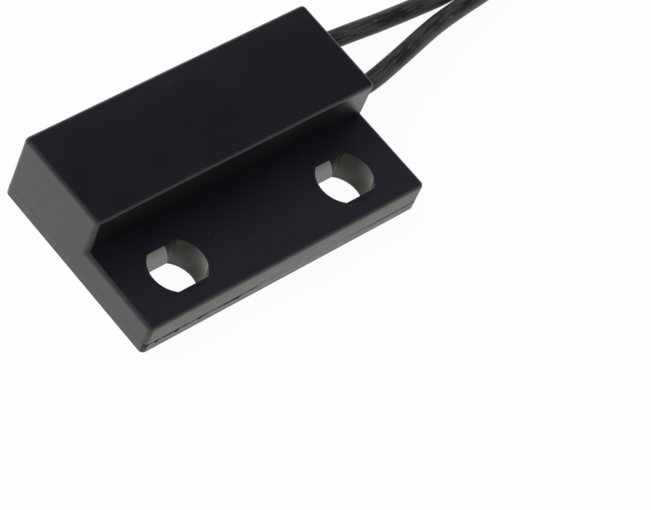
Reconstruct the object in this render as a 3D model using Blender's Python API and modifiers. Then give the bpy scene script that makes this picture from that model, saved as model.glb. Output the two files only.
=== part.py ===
# Flange-mount reed sensor: a moulded block with a glass reed switch potted inside,
# a screw flange along its front, a flat base cover and two free leads wound in a tied coil.
# Metres, +Z up. X runs along the block, the leads leave at +X, the flange is at -Y.
# The origin is the centre of the footprint, on the underside of the cover.
import math

import bmesh
import bpy
from mathutils import Matrix, Vector

# Driving dimensions of the moulding
BODY_LENGTH = 0.0287
BODY_DEPTH = 0.0172
BLOCK_DEPTH = 0.0092
BLOCK_HEIGHT = 0.0070
FLANGE_HEIGHT = 0.0032
COVER_THICKNESS = 0.00105
SEAM_GAP = 0.00008
WALL = 0.0009
ROOF = 0.0009
CORNER_RADIUS = 0.00042
BLOCK_FRONT_RADIUS = 0.00042
RIM_FILLET = 0.00038
COVER_FILLET = 0.0001
CAVITY_RADIUS = 0.0005

# Screw holes: round, with two flats across them
HOLE_DIAMETER = 0.0049
HOLE_ACROSS_FLATS = 0.0039
HOLE_SPACING = 0.01745
HOLE_SETBACK = 0.0037

# The cover's locating pad, which fits the mouth of the cavity
PAD_HEIGHT = 0.0005
PAD_CLEARANCE = 0.0001

# Two webs across the cavity that hold the glass and the long lead
WEB_THICKNESS = 0.0008
WEB_SPACING = 0.0100
WEB_CLEARANCE = 0.0001

# Reed switch
WIRE_LEVEL = 0.0034
GLASS_LENGTH = 0.0140
GLASS_DIAMETER = 0.0022
GLASS_WALL = 0.00028
GLASS_SEAL = 0.0018
GLASS_END_DIAMETER = 0.0011
REED_WIRE = 0.0006
SEAL_CLEARANCE = 0.00003
BLADE_WIDTH = 0.0012
BLADE_THICKNESS = 0.0002
BLADE_SQUARENESS = 0.45
BLADE_OVERLAP = 0.0016
CONTACT_GAP = 0.0001
LONG_TAIL_END_GAP = 0.00115

# Leads
LEAD_DIAMETER = 0.0016
CORE_DIAMETER = 0.0006
CORE_CLEARANCE = 0.00003
HOLE_CLEARANCE = 0.00006
FRONT_LEAD_ASIDE = 0.0027
BACK_LEAD_ASIDE = 0.0025

# Solder joints: the wires lie side by side in a blob of solder
JOINT_GAP = 0.00007
JOINT_LENGTH = 0.0019
JOINT_WIDTH = 0.0017
JOINT_HEIGHT = 0.0011
JOINT_END = 0.0002
JOINT_FROM_GLASS = 0.00045
CORE_RUN = 0.0012
CORE_BEND = [(0.2, 0.05), (0.5, 0.36), (0.77, 0.8), (1.0, 1.0)]

# Potting compound, and the gap that it keeps to what it surrounds
POTTING_GAP = 0.00006

# The coil: three turns wide and three high, held by a tie, with the loose ends inside it
COIL_RADIUS = 0.0086
TURN_PITCH = 0.00162
TURNS_WIDE = 3
TURNS_HIGH = 3
COIL_AHEAD = 0.05025
COIL_ASIDE = -0.00155
COIL_GAP = 0.00005
COIL_ENTRY = 101.5
LEAD_TO_COIL_GAP = 0.0002
TIE_ANGLE = 315
TIE_WIDTH = 0.0020
TIE_THICKNESS = 0.00035
TIE_GAP = 0.00007
TIE_CORNER = 0.0006
TIE_HEAD_LENGTH = 0.0026
TIE_HEAD_WIDTH = 0.0024
TIE_HEAD_HEIGHT = 0.0012
TIE_HEAD_EDGE = 0.0002
FRONT_TAIL_START = 184
FRONT_TAIL_SWEEP = 318
BACK_TAIL_START = -60
BACK_TAIL_SWEEP = 240
TAIL_STEPS = 22
TIP_STEPS = 6
TINNED_LENGTH = 0.0060
TINNED_DIAMETER = 0.0008

# Routes of the two leads, as offsets from the middle of the block's end face,
# with the height above the surface. Each begins just outside its exit hole.
BACK_ROUTE = [
    (0.0027, 0.00228, 0.00336),
    (0.0049, 0.00216, 0.00324),
    (0.0071, 0.00205, 0.00305),
    (0.0093, 0.00203, 0.00279),
    (0.0117, 0.00206, 0.00246),
    (0.0158, 0.00222, 0.00181),
    (0.0198, 0.00273, 0.00128),
    (0.0239, 0.00352, 0.00098),
    (0.0285, 0.00446, 0.00086),
    (0.0330, 0.00537, 0.00084),
    (0.0375, 0.00629, 0.00092),
]
FRONT_ROUTE = [
    (0.0025, -0.00258, 0.00337),
    (0.0049, -0.00210, 0.00324),
    (0.0075, -0.00148, 0.00300),
    (0.0103, -0.00075, 0.00265),
    (0.0131, -0.00007, 0.00222),
    (0.0165, 0.00055, 0.00171),
    (0.0200, 0.00108, 0.00126),
    (0.0241, 0.00186, 0.00097),
    (0.0287, 0.00280, 0.00086),
    (0.0332, 0.00373, 0.00084),
    (0.0372, 0.00455, 0.00094),
]
ROUTE_STEP = 0.0034

# Where things are, from the sizes above
half_length = BODY_LENGTH / 2
front_y = -BODY_DEPTH / 2
back_y = BODY_DEPTH / 2
block_front = back_y - BLOCK_DEPTH
block_middle = (block_front + back_y) / 2
housing_bottom = COVER_THICKNESS + SEAM_GAP
cavity_end = half_length - WALL
cavity_front = block_front + WALL
cavity_back = back_y - WALL
cavity_top = BLOCK_HEIGHT - ROOF
hole_y = front_y + HOLE_SETBACK
lead_radius = LEAD_DIAMETER / 2
front_lead_y = block_middle - FRONT_LEAD_ASIDE
back_lead_y = block_middle + BACK_LEAD_ASIDE
glass_end = GLASS_LENGTH / 2
joint_pitch = (REED_WIRE + CORE_DIAMETER) / 2 + JOINT_GAP
reed_left = -cavity_end + LONG_TAIL_END_GAP
left_joint_x = reed_left + JOINT_END + JOINT_LENGTH / 2
right_joint_x = glass_end + JOINT_FROM_GLASS + JOINT_LENGTH / 2
reed_right = right_joint_x + JOINT_LENGTH / 2 + JOINT_END
back_strip_x = left_joint_x + JOINT_LENGTH / 2 + CORE_RUN
front_strip_x = right_joint_x + JOINT_LENGTH / 2 + CORE_RUN
coil_centre = Vector((half_length + COIL_AHEAD, block_middle + COIL_ASIDE, 0))
coil_bottom = TIE_THICKNESS + TIE_GAP
coil_inner = COIL_RADIUS - (TURNS_WIDE - 1) / 2 * TURN_PITCH - lead_radius
coil_outer = COIL_RADIUS + (TURNS_WIDE - 1) / 2 * TURN_PITCH + lead_radius
coil_top = coil_bottom + (TURNS_HIGH - 1) * TURN_PITCH + LEAD_DIAMETER
tail_radius = coil_inner - COIL_GAP - lead_radius
first_level = coil_bottom + lead_radius
second_level = first_level + TURN_PITCH

for old in list(bpy.data.objects):
    bpy.data.objects.remove(old, do_unlink=True)

parts = bpy.data.collections.new("reed_sensor")
cutters = bpy.data.collections.new("cutters")
bpy.context.scene.collection.children.link(parts)
bpy.context.scene.collection.children.link(cutters)


def material(name, colour, roughness, metallic=0.0):
    made = bpy.data.materials.new(name)
    made.use_nodes = True
    shader = made.node_tree.nodes["Principled BSDF"]
    shader.inputs["Base Color"].default_value = (*colour, 1.0)
    shader.inputs["Roughness"].default_value = roughness
    shader.inputs["Metallic"].default_value = metallic
    made.diffuse_color = (*colour, 1.0)
    return made


black_plastic = material("black_plastic", (0.012, 0.012, 0.014), 0.45)
cover_plastic = material("cover_plastic", (0.015, 0.015, 0.016), 0.55)
black_resin = material("black_resin", (0.012, 0.012, 0.014), 0.25)
reed_glass_green = material("reed_glass_green", (0.45, 0.70, 0.55), 0.08)
nickel_iron = material("nickel_iron", (0.62, 0.60, 0.56), 0.28, 1.0)
solder = material("solder", (0.66, 0.66, 0.67), 0.35, 1.0)
tinned_copper = material("tinned_copper", (0.70, 0.68, 0.65), 0.32, 1.0)
lead_jacket = material("lead_jacket", (0.025, 0.025, 0.026), 0.50)
tie_nylon = material("tie_nylon", (0.62, 0.62, 0.58), 0.50)


def add_object(name, data, finish=None):
    made = bpy.data.objects.new(name, data)
    if finish is None:
        cutters.objects.link(made)
        made.hide_render = True
        made.display_type = "WIRE"
    else:
        data.materials.clear()
        data.materials.append(finish)
        parts.objects.link(made)
    return made


def add_mesh(name, bm, finish=None, smooth_below=None):
    bmesh.ops.recalc_face_normals(bm, faces=bm.faces)
    mesh = bpy.data.meshes.new(name)
    bm.to_mesh(mesh)
    bm.free()
    if smooth_below is not None:
        mesh.shade_smooth()
        mesh.set_sharp_from_angle(angle=math.radians(smooth_below))
    return add_object(name, mesh, finish)


def boolean(target, cutter, operation="DIFFERENCE"):
    step = target.modifiers.new(f"{operation.lower()} {cutter.name}", "BOOLEAN")
    step.operation = operation
    step.solver = "EXACT"
    step.object = cutter


def bevel_edges(bm, chosen, radius, segments):
    bmesh.ops.bevel(
        bm,
        geom=[e for e in bm.edges if chosen(*(v.co for v in e.verts))],
        offset=radius,
        segments=segments,
        profile=0.5,
        affect="EDGES",
        clamp_overlap=True,
    )


def box(low, high, front_radius=0.0, back_radius=0.0, top_fillet=0.0, bottom_fillet=0.0):
    """A box with upright corners rounded first, then the rim of its top or its bottom."""
    low, high = Vector(low), Vector(high)
    bm = bmesh.new()
    bmesh.ops.create_cube(bm, size=1.0)
    bmesh.ops.scale(bm, vec=high - low, verts=bm.verts)
    bmesh.ops.translate(bm, vec=(low + high) / 2, verts=bm.verts)
    near = 1e-6

    def upright(y):
        return lambda a, b: abs(a.y - y) < near and abs(b.y - y) < near and abs(a.z - b.z) > near

    def rim(z):
        return lambda a, b: abs(a.z - z) < near and abs(b.z - z) < near

    if front_radius:
        bevel_edges(bm, upright(low.y), front_radius, 5)
    if back_radius:
        bevel_edges(bm, upright(high.y), back_radius, 5)
    if top_fillet:
        bevel_edges(bm, rim(high.z), top_fillet, 3)
    if bottom_fillet:
        bevel_edges(bm, rim(low.z), bottom_fillet, 3)
    return bm


def rod(start, end, radius, sides):
    """A straight round bar between two points."""
    start, end = Vector(start), Vector(end)
    bm = bmesh.new()
    bmesh.ops.create_cone(
        bm,
        cap_ends=True,
        segments=sides,
        radius1=radius,
        radius2=radius,
        depth=(end - start).length,
    )
    turn = (end - start).to_track_quat("Z", "Y").to_matrix().to_4x4()
    bmesh.ops.transform(bm, matrix=Matrix.Translation((start + end) / 2) @ turn, verts=bm.verts)
    return bm


def flatted_hole(x, name):
    """The cutter of a screw hole: a cylinder with a flat on its front and its back."""
    bm = rod((x, hole_y, -WALL), (x, hole_y, BLOCK_HEIGHT), HOLE_DIAMETER / 2, 48)
    for side in (-1, 1):
        cut = bmesh.ops.bisect_plane(
            bm,
            geom=bm.verts[:] + bm.edges[:] + bm.faces[:],
            plane_co=(x, hole_y + side * HOLE_ACROSS_FLATS / 2, 0),
            plane_no=(0, side, 0),
            clear_outer=True,
        )
        rim = [e for e in cut["geom_cut"] if isinstance(e, bmesh.types.BMEdge)]
        bmesh.ops.edgeloop_fill(bm, edges=rim)
    return add_mesh(name, bm)


def turned(name, profile, steps, finish):
    """A closed profile of (radius, height) points, turned round the Z axis."""
    bm = bmesh.new()
    ring = [bm.verts.new((r, 0, z)) for r, z in profile]
    for a, b in zip(ring, ring[1:] + ring[:1]):
        bm.edges.new((a, b))
    mesh = bpy.data.meshes.new(name)
    bm.to_mesh(mesh)
    bm.free()
    made = add_object(name, mesh, finish)
    screw = made.modifiers.new("turn", "SCREW")
    screw.axis = "Z"
    screw.angle = math.tau
    screw.steps = steps
    screw.render_steps = steps
    screw.use_smooth_shade = True
    return made


def arc(centre, radius, start, end, steps):
    return [
        (
            centre[0] + radius * math.cos(math.radians(start + (end - start) * k / steps)),
            centre[1] + radius * math.sin(math.radians(start + (end - start) * k / steps)),
        )
        for k in range(steps + 1)
    ]


def rounded_rectangle(low, high, radius, steps):
    """The outline of a rectangle with round corners, clockwise from its top right corner."""
    (x0, z0), (x1, z1) = low, high
    return (
        arc((x1 - radius, z1 - radius), radius, 90, 0, steps)
        + arc((x1 - radius, z0 + radius), radius, 0, -90, steps)
        + arc((x0 + radius, z0 + radius), radius, -90, -180, steps)
        + arc((x0 + radius, z1 - radius), radius, -180, -270, steps)
    )


def smooth_path(points, step):
    """Points about a step apart on a smooth curve that passes through the given ones."""
    points = [Vector(p) for p in points]
    line = [points[0] * 2 - points[1], *points, points[-1] * 2 - points[-2]]
    path = []
    for a, b, c, d in zip(line, line[1:], line[2:], line[3:]):
        count = max(1, round((c - b).length / step))
        for k in range(count):
            t = k / count
            bend = (2 * a - 5 * b + 4 * c - d) * t**2 + (3 * b - a - 3 * c + d) * t**3
            path.append(0.5 * (2 * b + (c - a) * t + bend))
    return [*path, points[-1]]


def tube(name, points, radius, finish, resolution=2):
    """A wire or a lead: a curve with a round section and closed ends."""
    curve = bpy.data.curves.new(name, "CURVE")
    curve.dimensions = "3D"
    curve.bevel_depth = radius
    curve.bevel_resolution = resolution
    curve.use_fill_caps = True
    spline = curve.splines.new("POLY")
    spline.points.add(len(points) - 1)
    for knot, place in zip(spline.points, points):
        knot.co = (*place, 1.0)
    return add_object(name, curve, finish)


def channel(name, points, radius):
    """The cutter that a wire's route leaves in the potting, as a mesh."""
    guide = tube(name, points, radius, None)
    bpy.context.view_layer.update()
    evaluated = guide.evaluated_get(bpy.context.evaluated_depsgraph_get())
    mesh = bpy.data.meshes.new_from_object(evaluated)
    bm = bmesh.new()
    bm.from_mesh(mesh)
    bmesh.ops.remove_doubles(bm, verts=bm.verts, dist=1e-6)
    bm.to_mesh(mesh)
    bm.free()
    cutter = add_object(name + "_cut", mesh)
    cutter.matrix_world = guide.matrix_world
    bpy.data.objects.remove(guide, do_unlink=True)
    return cutter


def ellipsoid(centre, size):
    bm = bmesh.new()
    bmesh.ops.create_uvsphere(bm, u_segments=20, v_segments=12, radius=0.5)
    bmesh.ops.rotate(bm, matrix=Matrix.Rotation(math.pi / 2, 3, "Y"), verts=bm.verts)
    bmesh.ops.scale(bm, vec=size, verts=bm.verts)
    bmesh.ops.translate(bm, vec=centre, verts=bm.verts)
    return bm


# Housing
def make_housing():
    housing = add_mesh(
        "housing",
        box(
            (-half_length, block_front, housing_bottom),
            (half_length, back_y, BLOCK_HEIGHT),
            BLOCK_FRONT_RADIUS,
            CORNER_RADIUS,
            top_fillet=RIM_FILLET,
        ),
        black_plastic,
    )
    flange = box(
        (-half_length, front_y, housing_bottom),
        (half_length, block_front + WALL, FLANGE_HEIGHT),
        CORNER_RADIUS,
        top_fillet=RIM_FILLET,
    )
    cavity = box(
        (-cavity_end, cavity_front, 0),
        (cavity_end, cavity_back, cavity_top),
        CAVITY_RADIUS,
        CAVITY_RADIUS,
    )
    boolean(housing, add_mesh("flange_form", flange), "UNION")
    boolean(housing, add_mesh("cavity_form", cavity))
    for side in (-1, 1):
        boolean(housing, add_mesh(f"web_form_{side + 2}", web_box(side, 0)), "UNION")
    notch = glass_end + WEB_CLEARANCE
    level = (block_middle, WIRE_LEVEL)
    glass_notch = rod((-notch, *level), (notch, *level), GLASS_DIAMETER / 2 + WEB_CLEARANCE, 32)
    boolean(housing, add_mesh("glass_notch", glass_notch))
    for name, y, start in (
        ("back_lead_hole", back_lead_y, back_strip_x),
        ("front_lead_hole", front_lead_y, front_strip_x),
    ):
        way = rod(
            (start, y, WIRE_LEVEL),
            (half_length + WALL, y, WIRE_LEVEL),
            lead_radius + HOLE_CLEARANCE,
            32,
        )
        boolean(housing, add_mesh(name, way))
    cut_screw_holes(housing)


def web_box(side, gap):
    """A web hangs from the roof down to the middle of the glass, from wall to wall."""
    middle = side * WEB_SPACING / 2
    reach = WALL / 2
    return box(
        (middle - WEB_THICKNESS / 2 - gap, cavity_front - reach, WIRE_LEVEL - gap),
        (middle + WEB_THICKNESS / 2 + gap, cavity_back + reach, cavity_top + ROOF / 2),
    )


screw_holes = []


def cut_screw_holes(target):
    if not screw_holes:
        for side, name in ((-1, "screw_hole_left"), (1, "screw_hole_right")):
            screw_holes.append(flatted_hole(side * HOLE_SPACING / 2, name))
    for hole in screw_holes:
        boolean(target, hole)


# Base cover, with the pad that locates it in the cavity
def make_base_cover():
    cover = add_mesh(
        "base_cover",
        box(
            (-half_length, front_y, 0),
            (half_length, back_y, COVER_THICKNESS),
            CORNER_RADIUS,
            CORNER_RADIUS,
            bottom_fillet=COVER_FILLET,
        ),
        cover_plastic,
    )
    pad = box(
        (-cavity_end + PAD_CLEARANCE, cavity_front + PAD_CLEARANCE, COVER_THICKNESS / 2),
        (cavity_end - PAD_CLEARANCE, cavity_back - PAD_CLEARANCE, COVER_THICKNESS + PAD_HEIGHT),
        CAVITY_RADIUS,
        CAVITY_RADIUS,
    )
    boolean(cover, add_mesh("pad_form", pad), "UNION")
    cut_screw_holes(cover)


# Reed switch: a glass capsule with a flattened blade sealed into each end
def make_glass():
    outer = GLASS_DIAMETER / 2
    chamber = outer - GLASS_WALL
    neck = GLASS_END_DIAMETER / 2
    bore = REED_WIRE / 2 + SEAL_CLEARANCE
    shoulder = outer - neck
    chamber_end = glass_end - GLASS_SEAL
    taper = chamber - bore
    upper = [
        (bore, chamber_end),
        (bore, glass_end),
        *arc((neck, glass_end - shoulder), shoulder, 90, 0, 6),
    ]
    lower = [(r, -z) for r, z in reversed(upper)]
    profile = [*upper, *lower, (chamber, -chamber_end + taper), (chamber, chamber_end - taper)]
    glass = turned("reed_glass", profile, 32, reed_glass_green)
    glass.rotation_euler = (0, math.pi / 2, 0)
    glass.location = (0, block_middle, WIRE_LEVEL)


def blade_section(x, width, thickness, drop, squareness):
    """Sixteen points round a section that goes from a round wire to a flat blade."""
    section = []
    for k in range(16):
        angle = math.tau * (k + 0.5) / 16
        across, up = math.cos(angle), math.sin(angle)
        section.append(
            Vector(
                (
                    x,
                    math.copysign(abs(across) ** squareness, across) * width / 2,
                    math.copysign(abs(up) ** squareness, up) * thickness / 2 - drop,
                )
            )
        )
    return section


def make_blade(name, reach, turned_over):
    """A round wire, flattened inside the glass and ending over or under its partner."""
    chamber_end = glass_end - GLASS_SEAL
    drop = (CONTACT_GAP + BLADE_THICKNESS) / 2
    wire = (REED_WIRE, REED_WIRE, 0, 1)
    flat = (BLADE_WIDTH, BLADE_THICKNESS, drop, BLADE_SQUARENESS)
    midway = [(a + b) / 2 for a, b in zip(wire, flat)]
    press = chamber_end / 5
    stations = [
        (-reach, wire),
        (-glass_end, wire),
        (-chamber_end, wire),
        (-chamber_end + press / 2, midway),
        (-chamber_end + press, flat),
        (BLADE_OVERLAP / 2, flat),
    ]
    bm = bmesh.new()
    rings = [[bm.verts.new(p) for p in blade_section(x, *shape)] for x, shape in stations]
    for ring, following in zip(rings, rings[1:]):
        edges = []
        for loop in (ring, following):
            for a, b in zip(loop, loop[1:] + loop[:1]):
                edges.append(bm.edges.get((a, b)) or bm.edges.new((a, b)))
        bmesh.ops.bridge_loops(bm, edges=edges)
    bm.faces.new(rings[0])
    bm.faces.new(rings[-1])
    blade = add_mesh(name, bm, nickel_iron, smooth_below=40)
    blade.location = (0, block_middle, WIRE_LEVEL)
    if turned_over:
        blade.rotation_euler = (0, math.pi, 0)


# Inner wiring: each core leaves its jacket, bends across and lies against a reed wire
def core_route(lead_y, strip_x, joint_x, joint_y):
    """From the housing's end along the jacket, then in an S-bend to the far end of the joint."""
    bend_end = joint_x + JOINT_LENGTH / 2
    route = [(cavity_end, lead_y), (strip_x, lead_y)]
    for along, across in CORE_BEND:
        route.append((strip_x + along * (bend_end - strip_x), lead_y + across * (joint_y - lead_y)))
    route.append((joint_x - JOINT_LENGTH / 2 - JOINT_END, joint_y))
    return [(x, y, WIRE_LEVEL) for x, y in route]


def make_core(name, route):
    tube(name, route, CORE_DIAMETER / 2, tinned_copper)


def make_insulation(name, y, strip_x):
    """The jacket of a lead inside the housing: an open tube given its wall."""
    bm = bmesh.new()
    length = cavity_end - strip_x
    bmesh.ops.create_cone(
        bm,
        cap_ends=False,
        segments=24,
        radius1=lead_radius,
        radius2=lead_radius,
        depth=length,
    )
    sleeve = add_mesh(name, bm, lead_jacket)
    sleeve.rotation_euler = (0, math.pi / 2, 0)
    sleeve.location = (strip_x + length / 2, y, WIRE_LEVEL)
    wall = sleeve.modifiers.new("jacket wall", "SOLIDIFY")
    wall.thickness = lead_radius - CORE_DIAMETER / 2 - CORE_CLEARANCE
    wall.offset = -1.0
    wall.use_even_offset = True


def joint_size(gap):
    return (JOINT_LENGTH + 2 * gap, JOINT_WIDTH + 2 * gap, JOINT_HEIGHT + 2 * gap)


def make_solder_joint(name, x, side):
    """A blob of solder round a reed wire and the core that lies beside it."""
    centre = (x, block_middle + side * joint_pitch / 2, WIRE_LEVEL)
    blob = add_mesh(name, ellipsoid(centre, joint_size(0)), solder, smooth_below=40)
    reach = JOINT_LENGTH
    for number, (y, diameter) in enumerate(
        ((block_middle, REED_WIRE), (block_middle + side * joint_pitch, CORE_DIAMETER))
    ):
        way = rod(
            (x - reach, y, WIRE_LEVEL),
            (x + reach, y, WIRE_LEVEL),
            diameter / 2 + CORE_CLEARANCE,
            16,
        )
        boolean(blob, add_mesh(f"{name}_way_{number}", way))


# Potting compound: it fills the cavity round the webs, the switch and the wires
def make_potting(routes):
    pad_top = COVER_THICKNESS + PAD_HEIGHT
    potting = add_mesh(
        "potting_compound",
        box(
            (-cavity_end + POTTING_GAP, cavity_front + POTTING_GAP, pad_top + POTTING_GAP),
            (cavity_end - POTTING_GAP, cavity_back - POTTING_GAP, cavity_top - POTTING_GAP),
            CAVITY_RADIUS,
            CAVITY_RADIUS,
        ),
        black_resin,
    )
    for side in (-1, 1):
        boolean(potting, add_mesh(f"web_room_{side + 2}", web_box(side, POTTING_GAP)))
    level = (block_middle, WIRE_LEVEL)
    glass = glass_end + POTTING_GAP
    rooms = [
        ("glass_room", rod((-glass, *level), (glass, *level), GLASS_DIAMETER / 2 + POTTING_GAP, 32)),
        (
            "reed_wire_room",
            rod(
                (reed_left - POTTING_GAP, *level),
                (reed_right + POTTING_GAP, *level),
                REED_WIRE / 2 + POTTING_GAP,
                16,
            ),
        ),
    ]
    for name, y, strip_x in (
        ("back_jacket_room", back_lead_y, back_strip_x),
        ("front_jacket_room", front_lead_y, front_strip_x),
    ):
        way = rod(
            (strip_x - POTTING_GAP, y, WIRE_LEVEL),
            (half_length, y, WIRE_LEVEL),
            lead_radius + POTTING_GAP,
            24,
        )
        rooms.append((name, way))
    for name, x, side in (("left_joint_room", left_joint_x, 1), ("right_joint_room", right_joint_x, -1)):
        centre = (x, block_middle + side * joint_pitch / 2, WIRE_LEVEL)
        rooms.append((name, ellipsoid(centre, joint_size(POTTING_GAP))))
    for name, room in rooms:
        boolean(potting, add_mesh(name, room))
    for name, route in zip(("back_core_room", "front_core_room"), routes):
        along = Vector(route[-1]) - Vector(route[-2])
        longer = [*route, Vector(route[-1]) + along.normalized() * POTTING_GAP]
        boolean(potting, channel(name, longer, CORE_DIAMETER / 2 + POTTING_GAP))


# Free leads, laid down to the surface and up to the coil
def coil_point(radius, angle, height):
    turn = math.radians(angle)
    return coil_centre + Vector((radius * math.cos(turn), radius * math.sin(turn), height))


def lead_route(offsets, exit_y, turn_radius):
    """From inside the exit hole to where the coil's outline begins."""
    touch = coil_point(turn_radius, COIL_ENTRY, first_level)
    along = coil_point(1, COIL_ENTRY - 90, 0) - coil_centre
    inside = math.sqrt(coil_outer**2 - (turn_radius - lead_radius) ** 2)
    start = [
        (cavity_end + COIL_GAP, exit_y, WIRE_LEVEL),
        (half_length, exit_y, WIRE_LEVEL),
    ]
    middle = [(half_length + x, block_middle + y, z) for x, y, z in offsets]
    end = [touch - along * (inside + LEAD_TO_COIL_GAP)]
    return smooth_path(start + middle + end, ROUTE_STEP)


def make_tail(name, level, start, sweep):
    """The loose end of a lead, along the inside of the coil, with its bare tip."""
    tip = math.degrees(TINNED_LENGTH / tail_radius)
    turn = (sweep - tip) / TAIL_STEPS
    jacket = [coil_point(tail_radius, start - turn * k, level) for k in range(TAIL_STEPS + 1)]
    tube(f"lead_tail_{name}", jacket, lead_radius, lead_jacket)
    after = start - (sweep - tip) - math.degrees(COIL_GAP / tail_radius)
    bare = [coil_point(tail_radius, after - tip * k / TIP_STEPS, level) for k in range(TIP_STEPS + 1)]
    tube(f"tinned_end_{name}", bare, TINNED_DIAMETER / 2, tinned_copper)


def make_coil():
    """The outline of the wound turns: three side by side, three again, and two on top."""
    inner, outer = coil_inner + lead_radius, coil_outer - lead_radius
    levels = [first_level + k * TURN_PITCH for k in range(TURNS_HIGH)]
    section = [
        *arc((outer - TURN_PITCH, levels[-1]), lead_radius, 90, 45, 2),
        *arc((outer, levels[-2]), lead_radius, 45, 0, 2),
        *arc((outer, levels[0]), lead_radius, 0, -90, 3),
        *arc((inner, levels[0]), lead_radius, -90, -180, 3),
        *arc((inner, levels[-1]), lead_radius, -180, -270, 3),
    ]
    coil = turned("lead_coil", section, 48, lead_jacket)
    coil.location = coil_centre


def make_tie():
    """A band round the bundle, on the side that faces the housing, with its head on top."""
    inner = tail_radius - lead_radius - TIE_GAP
    outer = coil_outer + TIE_GAP
    low, high = (inner, TIE_THICKNESS), (outer, coil_top + TIE_GAP)
    outline = rounded_rectangle(low, high, TIE_CORNER, 4)
    bm = bmesh.new()
    ring = [bm.verts.new((r, -TIE_WIDTH / 2, z)) for r, z in outline]
    edges = [bm.edges.new((a, b)) for a, b in zip(ring, ring[1:] + ring[:1])]
    strip = bmesh.ops.extrude_edge_only(bm, edges=edges)
    moved = [v for v in strip["geom"] if isinstance(v, bmesh.types.BMVert)]
    bmesh.ops.translate(bm, vec=(0, TIE_WIDTH, 0), verts=moved)
    tie = add_mesh("coil_tie", bm, tie_nylon)
    band = tie.modifiers.new("band", "SOLIDIFY")
    band.thickness = TIE_THICKNESS
    band.offset = 1.0
    band.use_even_offset = True
    middle = (inner + outer) / 2
    head = box(
        (middle - TIE_HEAD_LENGTH / 2, -TIE_HEAD_WIDTH / 2, high[1] + TIE_THICKNESS / 2),
        (middle + TIE_HEAD_LENGTH / 2, TIE_HEAD_WIDTH / 2, high[1] + TIE_HEAD_HEIGHT),
        TIE_HEAD_EDGE,
        TIE_HEAD_EDGE,
        top_fillet=TIE_HEAD_EDGE,
    )
    head_form = add_mesh("tie_head_form", head)
    boolean(tie, head_form, "UNION")
    for piece in (tie, head_form):
        piece.rotation_euler = (0, 0, math.radians(TIE_ANGLE))
        piece.location = coil_centre


make_housing()
make_base_cover()
make_glass()
make_blade("reed_blade_left", -reed_left, False)
make_blade("reed_blade_right", reed_right, True)
back_core = core_route(back_lead_y, back_strip_x, left_joint_x, block_middle + joint_pitch)
front_core = core_route(front_lead_y, front_strip_x, right_joint_x, block_middle - joint_pitch)
make_core("core_back", back_core)
make_core("core_front", front_core)
make_insulation("insulation_back", back_lead_y, back_strip_x)
make_insulation("insulation_front", front_lead_y, front_strip_x)
make_solder_joint("solder_joint_left", left_joint_x, 1)
make_solder_joint("solder_joint_right", right_joint_x, -1)
make_potting((back_core, front_core))
tube(
    "lead_back",
    lead_route(BACK_ROUTE, back_lead_y, COIL_RADIUS + TURN_PITCH),
    lead_radius,
    lead_jacket,
)
tube(
    "lead_front",
    lead_route(FRONT_ROUTE, front_lead_y, COIL_RADIUS),
    lead_radius,
    lead_jacket,
)
make_coil()
make_tail("front", first_level, FRONT_TAIL_START, FRONT_TAIL_SWEEP)
make_tail("back", second_level, BACK_TAIL_START, BACK_TAIL_SWEEP)
make_tie()
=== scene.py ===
import math

import bmesh
import bpy
from mathutils import Matrix, Vector, noise


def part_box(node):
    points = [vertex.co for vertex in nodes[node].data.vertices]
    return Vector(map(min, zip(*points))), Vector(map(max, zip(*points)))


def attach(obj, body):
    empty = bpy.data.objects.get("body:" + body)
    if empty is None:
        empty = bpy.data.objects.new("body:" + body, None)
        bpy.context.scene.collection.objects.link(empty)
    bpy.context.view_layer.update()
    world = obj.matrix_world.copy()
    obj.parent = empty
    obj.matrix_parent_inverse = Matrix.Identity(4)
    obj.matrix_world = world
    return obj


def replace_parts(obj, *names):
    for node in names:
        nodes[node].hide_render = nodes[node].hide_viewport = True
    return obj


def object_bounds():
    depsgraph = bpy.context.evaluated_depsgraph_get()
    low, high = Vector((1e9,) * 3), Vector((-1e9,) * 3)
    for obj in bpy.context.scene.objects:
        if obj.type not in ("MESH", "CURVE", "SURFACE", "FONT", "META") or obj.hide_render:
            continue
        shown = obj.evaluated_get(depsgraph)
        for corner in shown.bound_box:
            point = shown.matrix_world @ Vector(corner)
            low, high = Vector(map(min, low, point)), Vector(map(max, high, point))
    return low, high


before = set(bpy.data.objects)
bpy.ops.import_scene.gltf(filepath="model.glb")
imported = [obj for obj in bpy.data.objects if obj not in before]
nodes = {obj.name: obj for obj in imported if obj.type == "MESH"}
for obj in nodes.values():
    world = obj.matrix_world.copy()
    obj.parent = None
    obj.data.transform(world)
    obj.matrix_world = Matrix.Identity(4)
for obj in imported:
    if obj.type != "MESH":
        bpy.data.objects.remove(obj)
cadLow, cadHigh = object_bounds()
mm = 0.001
mergeWithin = 0.0005 * mm  # vertices this close are one
sameHeight = 0.002 * mm  # and heights this close are the same
flatWithin = math.radians(0.3)  # faces that turn less than this are one flat face
print("frame loaded:", len(nodes), "nodes")


def pointing(azimuth, elevation):
    # the way to a place round the part: degrees from the flange's side, and above the floor
    turn, lift = math.radians(azimuth), math.radians(elevation)
    out = math.cos(lift)
    return Vector((math.sin(turn) * out, -math.cos(turn) * out, math.sin(lift)))


# the photograph's view, as a direction, a distance and the point at its centre
cameraView = {
    "azimuth": -61.2986,
    "elevation": 50.2490,
    "roll": 26.1716,
    "distance": 261.1127 * mm,
    "target": Vector((2.1444, -9.9881, 3.5)) * mm,
    "lens": 187.580,
    "sensor": 36.0,
    "nearest": 10 * mm,
    "farthest": 20,
}


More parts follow.
